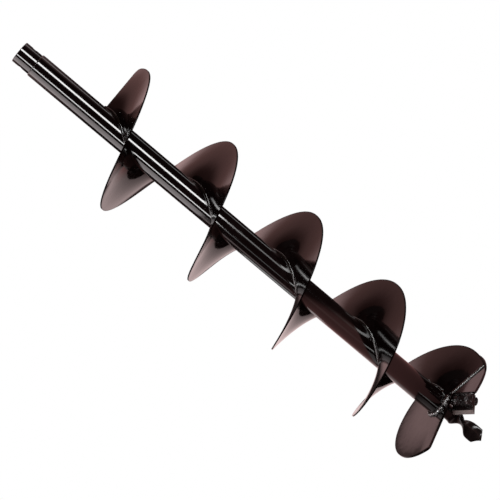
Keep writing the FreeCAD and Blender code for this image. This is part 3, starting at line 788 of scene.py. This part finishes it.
def threaded_end(centre, low, high):
    """Points and faces of a screw thread on a bolt's axis, between two heights along the axis."""
    rows = int((high - low) / THREAD_PITCH * THREAD_ROWS_PER_TURN)
    across = EDGE.normal.cross(EDGE.out)
    points = []
    for row in range(rows + 1):
        height = low + (high - low) * row / rows
        chamfer = max(0.0, THREAD_DEPTH - (high - height))
        for step in range(THREAD_STEPS):
            turn = FULL_TURN * step / THREAD_STEPS
            phase = (height / THREAD_PITCH - step / THREAD_STEPS) % 1.0
            radius = BOLT_RADIUS - THREAD_DEPTH * abs(2 * phase - 1) ** 1.3
            radius = min(radius, BOLT_RADIUS - chamfer)
            spoke = EDGE.out * math.cos(turn) + across * math.sin(turn)
            points.append(centre + EDGE.normal * height + spoke * radius)
    return points, tube_faces(rows + 1, THREAD_STEPS, False)


def threaded_bolts():
    """The two bolts: heads and shanks as in the solids, and a thread on the ends above the nuts."""
    washers = node_points("blade_washers")
    along = washers @ np.array(EDGE.out)
    nut_top = (node_points("blade_nuts") @ np.array(EDGE.normal)).max()
    bolt_end = (node_points("blade_bolts") @ np.array(EDGE.normal)).max()
    cut_height = nut_top - THREAD_PITCH
    work = bmesh.new()
    work.from_mesh(softened_copy("blade_bolts", 0.0003))
    cut = bmesh.ops.bisect_plane(work, geom=work.verts[:] + work.edges[:] + work.faces[:],
                                 plane_co=EDGE.normal * cut_height, plane_no=EDGE.normal, clear_outer=True)
    rims = [e for e in cut["geom_cut"] if isinstance(e, bmesh.types.BMEdge)]
    bmesh.ops.holes_fill(work, edges=rims, sides=0)
    mesh = bpy.data.meshes.new("blade_bolts_fine")
    work.to_mesh(mesh)
    work.free()
    points = [tuple(v.co) for v in mesh.vertices]
    faces = [tuple(f.vertices) for f in mesh.polygons]
    for group in (washers[along < along.mean()], washers[along >= along.mean()]):
        middle = Vector((group.max(axis=0) + group.min(axis=0)) / 2)
        foot = middle - EDGE.normal * middle.dot(EDGE.normal)
        more, quads = threaded_end(foot, cut_height - THREAD_PITCH / 2, bolt_end)
        faces += [tuple(index + len(points) for index in quad) for quad in quads]
        points += [tuple(p) for p in more]
    return add_piece("blade_bolts_fine", mesh_from("blade_bolts_threaded", points, faces), BOLT_STEEL,
                     "bolt_steel", "blade_bolts")


def worn_and_sheen_places(node, mesh):
    """Where a copied piece is worn: the blade's ground bevel, which the blade paint paints lighter, partly
    as bare ground steel and partly as a painted highlight, and the plate's rim.
    """
    points = np.array([v.co for v in mesh.vertices])
    if node == "cutting_blade":
        down = points @ np.array(EDGE.slope)
        return (down > down.max() - BLADE_BEVEL).astype(float)
    if node == "base_plate":
        width, blend = PLATE_WEAR
        distance = np.hypot(points[:, 0], points[:, 1])
        return np.clip((distance - FLIGHT_RADIUS + width) / blend, 0, 1)
    return np.zeros(len(points))


def copied_pieces():
    """CAD shapes that only need their edges rounded."""
    for node, width, material, slot in (
            ("base_plate", 0.0007, FLIGHT_PAINT, "flight_paint"),
            ("blade_holder", 0.0007, BLADE_PAINT, "blade_steel"),
            ("cutting_blade", 0.0005, BLADE_PAINT, "blade_steel"),
            ("blade_washers", 0.0003, BOLT_STEEL, "bolt_steel"),
            ("blade_nuts", 0.0003, BOLT_STEEL, "bolt_steel"),
            ("pilot_point", 0.0005, PILOT_PAINT, "blade_steel"),
            ("pilot_hub", 0.0005, INNER_STEEL, "inner_steel"),
            ("pilot_pin", 0.0003, INNER_STEEL, "inner_steel")):
        mesh = softened_copy(node, width)
        set_point_value(mesh, "wear_and_sheen", worn_and_sheen_places(node, mesh))
        add_piece(node + "_fine", mesh, material, slot, node, sharp_angle=180)


# ---------------------------------------------------------------- studio

def strip_light(name, azimuth, distance, width, low, high, radiance, colour):
    """A tall softbox, at an azimuth from the camera's side of the auger (positive towards +X)."""
    light = bpy.data.lights.new(name, "AREA")
    light.shape = "RECTANGLE"
    light.size = width
    light.size_y = high - low
    light.energy = radiance * math.pi * width * (high - low)
    light.color = colour
    turn = math.radians(azimuth)
    place = Vector((distance * math.sin(turn), -distance * math.cos(turn), (low + high) / 2))
    lamp = bpy.data.objects.new(name, light)
    lamp.location = place
    lamp.rotation_mode = "QUATERNION"
    lamp.rotation_quaternion = Vector((-place.x, -place.y, 0)).to_track_quat("-Z", "Y")
    lamp.visible_camera = False
    bpy.context.scene.collection.objects.link(lamp)


class Sky(Nodes):
    """Node helpers for something that glows: plain white to look at, and another colour to light by."""

    def __init__(self, tree, output_kind, glow_kind):
        self.tree = tree
        tree.nodes.clear()
        output = self.add(output_kind)
        mixer = self.add("ShaderNodeMixShader")
        self.glow = self.add(glow_kind)
        white = self.add(glow_kind)
        white.inputs["Color"].default_value = (*WHITE, 1.0)
        self.link(self.add("ShaderNodeLightPath").outputs["Is Camera Ray"], mixer.inputs["Fac"])
        self.link(self.glow.outputs[0], mixer.inputs[1])
        self.link(white.outputs[0], mixer.inputs[2])
        self.link(mixer.outputs["Shader"], output.inputs["Surface"])

    def smooth(self, value, low, high):
        """A smooth step from 0 at low to 1 at high."""
        node = self.add("ShaderNodeMapRange", interpolation_type="SMOOTHSTEP")
        node.inputs["From Min"].default_value = low
        node.inputs["From Max"].default_value = high
        self.link(value, node.inputs["Value"])
        return node.outputs["Result"]

    def axes(self, vector):
        """The x, y and z of a vector."""
        node = self.add("ShaderNodeSeparateXYZ")
        self.link(vector, node.inputs["Vector"])
        return node.outputs


def world_light():
    """Warm behind the auger, dark at the zenith and the horizon, and nearly black in front of it."""
    world = bpy.data.worlds.new("studio")
    world.use_nodes = True
    sky = Sky(world.node_tree, "ShaderNodeOutputWorld", "ShaderNodeBackground")
    _, back, rise = sky.axes(sky.add("ShaderNodeTexCoord").outputs["Generated"])[:3]
    high = sky.mix(sky.smooth(rise, *LOW_TO_HIGH), LOW_SKY, HIGH_SKY)
    high = sky.mix(sky.smooth(rise, *HIGH_TO_ZENITH), high, ZENITH)
    above = sky.mix(sky.smooth(rise, *HORIZON_TO_LOW), HORIZON, high)
    sky.link(sky.mix(sky.smooth(back, *FRONT_TO_BACK), FRONT_SKY, above), sky.glow.inputs["Color"])
    bpy.context.scene.world = world


def floor():
    """The pale floor: a pool of light round the auger's foot, brightest behind it."""
    mesh = bpy.data.meshes.new("floor")
    work = bmesh.new()
    bmesh.ops.create_grid(work, x_segments=1, y_segments=1, size=FLOOR_HALF_WIDTH)
    work.to_mesh(mesh)
    work.free()
    material = bpy.data.materials.new("floor_white")
    material.use_nodes = True
    pool = Sky(material.node_tree, "ShaderNodeOutputMaterial", "ShaderNodeEmission")
    place = pool.add("ShaderNodeTexCoord").outputs["Object"]
    x, y, _ = pool.axes(place)[:3]
    offset = pool.add("ShaderNodeVectorMath", operation="SUBTRACT")
    offset.inputs[1].default_value = (POOL_SIDE, 0.0, 0.0)
    pool.link(place, offset.inputs[0])
    length = pool.add("ShaderNodeVectorMath", operation="LENGTH")
    pool.link(offset.outputs["Vector"], length.inputs[0])
    behind = pool.math("MULTIPLY", pool.smooth(y, *POOL_BACK_NEAR), pool.smooth(x, *POOL_BACK_LEFT))
    for value, fade in ((x, POOL_BACK_RIGHT), (y, POOL_BACK_FAR)):
        behind = pool.math("MULTIPLY", behind, pool.math("SUBTRACT", 1.0, pool.smooth(value, *fade)))
    from_axis = pool.add("ShaderNodeVectorMath", operation="LENGTH")
    pool.link(place, from_axis.inputs[0])
    reach = from_axis.outputs["Value"]
    front = pool.mix(pool.smooth(reach, *POOL_FOOT_FADE), POOL_EDGE, POOL_FRONT)
    azimuth = pool.math("ARCTAN2", x, pool.math("MULTIPLY", y, -1.0))
    far = pool.smooth(reach, *SPILL_START)
    for centre, half, glow in SPILLS:
        band = pool.math("ABSOLUTE", pool.math("SUBTRACT", azimuth, math.radians(centre)), 0.0)
        half = math.radians(half)
        near = pool.math("SUBTRACT", 1.0, pool.smooth(band, SPILL_CORE * half, half))
        front = pool.mix(pool.math("MULTIPLY", near, far), front, glow)
    outside = pool.smooth(length.outputs["Value"], POOL_RADIUS, POOL_RADIUS + POOL_FADE)
    front = pool.mix(outside, front, POOL_EDGE)
    pool.link(pool.mix(behind, front, POOL_BACK), pool.glow.inputs["Color"])
    mesh.materials.append(material)
    piece = bpy.data.objects.new("floor", mesh)
    piece.location.z = FLOOR_Z - FLOOR_DROP
    bpy.context.scene.collection.objects.link(piece)


def studio():
    for strip in STRIPS:
        strip_light(*strip)
    world_light()
    floor()


def camera():
    data = bpy.data.cameras.new("camera")
    data.lens = CAMERA_LENS
    data.sensor_width = CAMERA_SENSOR
    data.clip_start, data.clip_end = CAMERA_CLIP
    eye = bpy.data.objects.new("camera", data)
    eye.location = CAMERA_PLACE
    eye.rotation_mode = "QUATERNION"
    level = (CAMERA_AIM - CAMERA_PLACE).to_track_quat("-Z", "Y")
    eye.rotation_quaternion = level @ Matrix.Rotation(CAMERA_ROLL, 3, "Z").to_quaternion()
    bpy.context.scene.collection.objects.link(eye)
    bpy.context.scene.camera = eye


# ---------------------------------------------------------------- assembly

camera()
studio()
bpy.context.scene.view_settings.view_transform = "Standard"

centre_tube()
drive_socket()
ring_bead("socket_weld", SOCKET_RADIUS, TUBE_HIGH, SOCKET_WELD_LEG, 1)
for number in range(1, FLIGHT_SECTIONS + 1):
    flight(number)
    helix_weld(number)
for number in range(1, FLIGHT_SECTIONS):
    seam_weld(number)
spatter()

foot_welds()
threaded_bolts()
copied_pieces()
